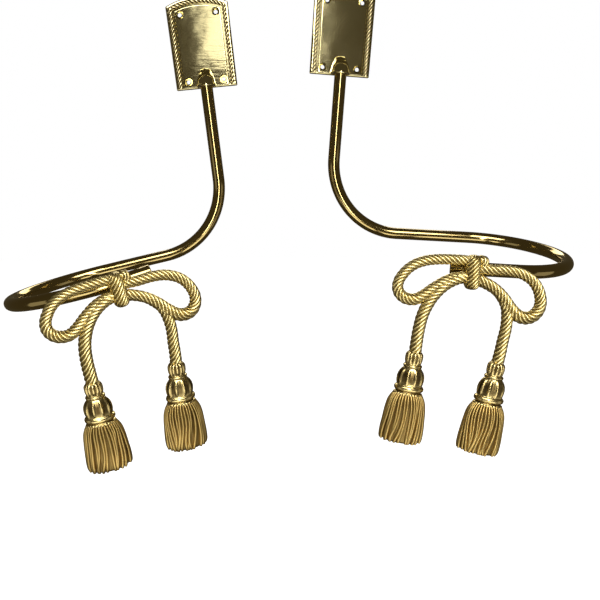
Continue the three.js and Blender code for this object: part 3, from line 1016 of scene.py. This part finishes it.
# The head from its top down: depth, radius, kind of lobes, how deep they are cut.
HEAD_ROWS = (
    (-0.6, 3.4, PETALS, 0.0), (0.2, 4.6, PETALS, 0.08), (1.2, 5.6, PETALS, 0.18), (2.4, 6.1, PETALS, 0.22),
    (4.2, 6.2, PETALS, 0.22), (6.2, 6.1, PETALS, 0.2), (7.8, 5.7, PETALS, 0.12), (8.8, 5.4, PETALS, 0.0),
    (9.0, 5.8, PLAIN, 0.0), (9.5, 6.4, PLAIN, 0.0), (10.2, 6.55, PLAIN, 0.0), (10.9, 6.3, PLAIN, 0.0),
    (11.3, 5.9, GROOVE, 0.0), (11.6, 6.2, RIBS, 0.0), (12.4, 7.0, RIBS, 0.05), (14, 8.2, RIBS, 0.09),
    (16, 9.1, RIBS, 0.11), (18.2, 9.5, RIBS, 0.11), (20.5, 9.5, RIBS, 0.11), (22.4, 9.2, RIBS, 0.08),
    (23.8, 8.8, RIBS, 0.0), (24.1, 9.2, PLAIN, 0.0), (24.6, 9.9, PLAIN, 0.0), (25.6, 10.25, PLAIN, 0.0),
    (26.7, 10.1, PLAIN, 0.0), (27.4, 9.6, PLAIN, 0.0), (27.7, 9.0, PLAIN, 0.0), (28.0, 8.5, GROOVE, 0.0),
    (28.5, 8.6, GROOVE, 0.0), (28.7, 9.2, BEADS, 0.0), (29.1, 10.0, BEADS, 0.08), (29.8, 10.3, BEADS, 0.1),
    (30.4, 10.0, BEADS, 0.08), (31, 9.0, BEADS, 0.0),
)


def tassel_head_mesh():
    """Petalled cap, thin ring, ribbed bulb, thick ring and a beaded rim."""
    mesh = lobed_turning("tassel head", finer_rows(HEAD_ROWS, parts=3), around=180)
    mesh.materials.append(head_brass)
    return mesh


# The skirt's core from its top down: depth, radius, how dull and dark with painted shade it is, most at the
# top.
CORE_ROWS = (
    (29, 8.4, 1.0), (31, 9.6, 1.0), (34, 11.4, 1.0), (38, 12.3, 0.9), (47, 13.1, 0.7), (58, 13.6, 0.5),
    (62, 13.5, 0.5), (63.3, 12.9, 0.6),
)


def tassel_skirt_meshes(seed):
    """The skirt's strands round a core darkened with painted shade, which shows between them as the shade
    in the gaps.
    """
    start = path_object([(0, 0, 0), (0, -1, 0)], [1, 1], smooth=False)
    strands = shaped(start, SKIRT, {
        "Strands": SKIRT_STRANDS, "Top": SKIRT_TOP, "Length": SKIRT_LENGTH, "Radius": SKIRT_RADIUS,
        "Flatness": SKIRT_FLATNESS, "Sway": SKIRT_SWAY, "Seed": seed, "Metal": skirt_brass,
    })
    rows = [(depth, radius, (SKIRT_STRANDS, 1.0, dull_and_shaded), 0.03) for depth, radius, dull_and_shaded in CORE_ROWS]
    core_mesh = lobed_turning("skirt core", rows, around=128)
    core_mesh.materials.append(skirt_brass)
    return [core_mesh, strands]


# Placing

MILLIMETRE = Matrix.Scale(0.001, 4)


def room_matrix(holdback):
    """From millimetres facing the viewer to metres in the room."""
    x, z = holdback["place"]
    lean = Matrix.Rotation(math.radians(holdback["lean"]), 4, "Z")
    stand = Matrix.Rotation(math.pi / 2, 4, "X")
    return MILLIMETRE @ stand @ Matrix.Translation((x, z, 0)) @ lean


def bow_matrix(holdback):
    """Where the knot sits in front of the rod, and how the bow is turned there."""
    bow = holdback["bow"]
    turns = (math.radians(bow["pitch"]), math.radians(bow["yaw"]), math.radians(bow["turn"]))
    tilt = Euler(turns, "XYZ").to_matrix()
    seat = point_before_end(bent_rod_path(holdback), holdback["knot_from_tip"])
    place = seat + tilt @ Vector((0, -bow["drop"], BOW_ABOVE_ROD))
    return Matrix.Translation(place) @ tilt.to_4x4()


def tassel_matrix(tassel):
    """Where a tassel hangs on its bow."""
    lean = Matrix.Rotation(math.atan(tassel["slant"]), 4, "Z")
    return Matrix.Translation((*tassel["top"], 0)) @ lean


def finish_piece(name, meshes, matrix, node):
    """One placed and named piece, which takes the place of a solid."""
    mesh = joined(name, meshes)
    mesh.transform(matrix)
    mesh.update()
    piece = mesh_object(mesh)
    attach(piece, "root")
    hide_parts(node)


def dress_holdback(holdback):
    """The five pieces of one holdback."""
    side = holdback["name"]
    room = room_matrix(holdback)
    seat = room @ bow_matrix(holdback)
    finish_piece(f"{side}_wall_plate", plate_meshes(), room, f"plate_{side}")
    finish_piece(f"{side}_bent_rod", [rod_mesh(holdback)], room, f"arm_{side}")
    finish_piece(f"{side}_rope_bow", bow_rope_meshes(), seat, f"bow_{side}")
    heads, skirts = [], []
    for tassel in TASSELS:
        head = tassel_head_mesh()
        head.transform(tassel_matrix(tassel))
        heads.append(head)
        for mesh in tassel_skirt_meshes(tassel["seed"]):
            mesh.transform(tassel_matrix(tassel))
            skirts.append(mesh)
    finish_piece(f"{side}_tassel_heads", heads, seat, f"bow_{side}")
    finish_piece(f"{side}_tassel_skirts", skirts, seat, f"bow_{side}")


for each_holdback in HOLDBACKS:
    dress_holdback(each_holdback)


# Stage, light and camera

FLOOR_SIZE = 8.0
FLOOR_PLACE = (0.1, 0.0, -0.85)
LAMP_COLOUR = (1.0, 0.98, 0.94)
MIRRORED_ROOM_COLOUR = (0.068, 0.056, 0.033, 1)
CAMERA_PLACE = (0.0414, -0.5081, -0.0821)
LOOKING_DOWN = 13.6
LOOKING_RIGHT = 4.0

# The point that every lamp faces, near the middle of the pair.
MIDDLE = (0.06, -0.06, -0.1)

# Soft panels of light: name, place, width, height, watts.
LAMPS = (
    ("window", (0.062, -2.0, 0.385), 0.45, 0.25, 0.62),
    ("bright strip", (0.11, -1.9, 0.2), 0.2, 1.8, 14.0),
    ("overhead", (0.0, -1.7, 1.2), 2.0, 0.9, 40.0),
    ("left side", (-1.5, -1.0, -0.8), 0.9, 1.4, 1.6),
    ("right side", (1.6, -0.9, -0.8), 0.9, 1.4, 1.6),
    ("below", (0.06, -1.4, -1.1), 1.8, 0.7, 8.0),
    ("behind", (0.1, 1.4, 0.7), 1.4, 0.5, 8.0),
)


def white_floor():
    """A wide glowing floor far below, kept out of the metal's reflections."""
    half = FLOOR_SIZE / 2
    corners = [(-half, -half, 0), (half, -half, 0), (half, half, 0), (-half, half, 0)]
    data = bpy.data.meshes.new("floor")
    data.from_pydata(corners, [], [(0, 1, 2, 3)])
    plane = mesh_object(data)
    plane.location = FLOOR_PLACE
    material = bpy.data.materials.new("floor")
    material.use_nodes = True
    shader = next(node for node in material.node_tree.nodes if node.type == "BSDF_PRINCIPLED")
    shader.inputs["Base Color"].default_value = (0.9, 0.9, 0.9, 1)
    shader.inputs["Roughness"].default_value = 0.9
    shader.inputs["Emission Color"].default_value = (1, 1, 1, 1)
    shader.inputs["Emission Strength"].default_value = 1.0
    data.materials.append(material)
    plane.visible_glossy = False


def soft_panel(name, place, width, height, power):
    """A panel of light that faces the middle of the pair."""
    data = bpy.data.lights.new(name, "AREA")
    data.shape = "RECTANGLE"
    data.size = width
    data.size_y = height
    data.energy = power
    data.color = LAMP_COLOUR
    lamp = bpy.data.objects.new(name, data)
    bpy.context.collection.objects.link(lamp)
    lamp.location = place
    lamp.rotation_euler = (Vector(MIDDLE) - Vector(place)).to_track_quat("-Z", "Y").to_euler()
    lamp.visible_camera = False


def plain_room():
    """White to the camera; dim and warm in the metal's reflections."""
    world = bpy.data.worlds.new("plain room")
    world.use_nodes = True
    tree = world.node_tree
    tree.nodes.clear()
    seen = add(tree, "ShaderNodeBackground")
    seen.inputs["Color"].default_value = (1, 1, 1, 1)
    mirrored = add(tree, "ShaderNodeBackground")
    mirrored.inputs["Color"].default_value = MIRRORED_ROOM_COLOUR
    path = add(tree, "ShaderNodeLightPath")
    mix = add(tree, "ShaderNodeMixShader")
    out = add(tree, "ShaderNodeOutputWorld")
    link(tree, path.outputs["Is Camera Ray"], mix.inputs[0])
    link(tree, mirrored.outputs[0], mix.inputs[1])
    link(tree, seen.outputs[0], mix.inputs[2])
    link(tree, mix.outputs[0], out.inputs["Surface"])
    bpy.context.scene.world = world


def photo_camera():
    """The camera at the photo's angle."""
    eye = bpy.data.cameras.new("photo angle")
    eye.lens = 36.0
    eye.sensor_width = 36.0
    camera = bpy.data.objects.new("photo angle", eye)
    bpy.context.collection.objects.link(camera)
    camera.location = CAMERA_PLACE
    camera.rotation_euler = Euler((math.radians(90 - LOOKING_DOWN), 0, math.radians(-LOOKING_RIGHT)), "XYZ")
    bpy.context.scene.camera = camera


plain_room()
white_floor()
for lamp_values in LAMPS:
    soft_panel(*lamp_values)
photo_camera()
bpy.context.scene.view_settings.view_transform = "Standard"
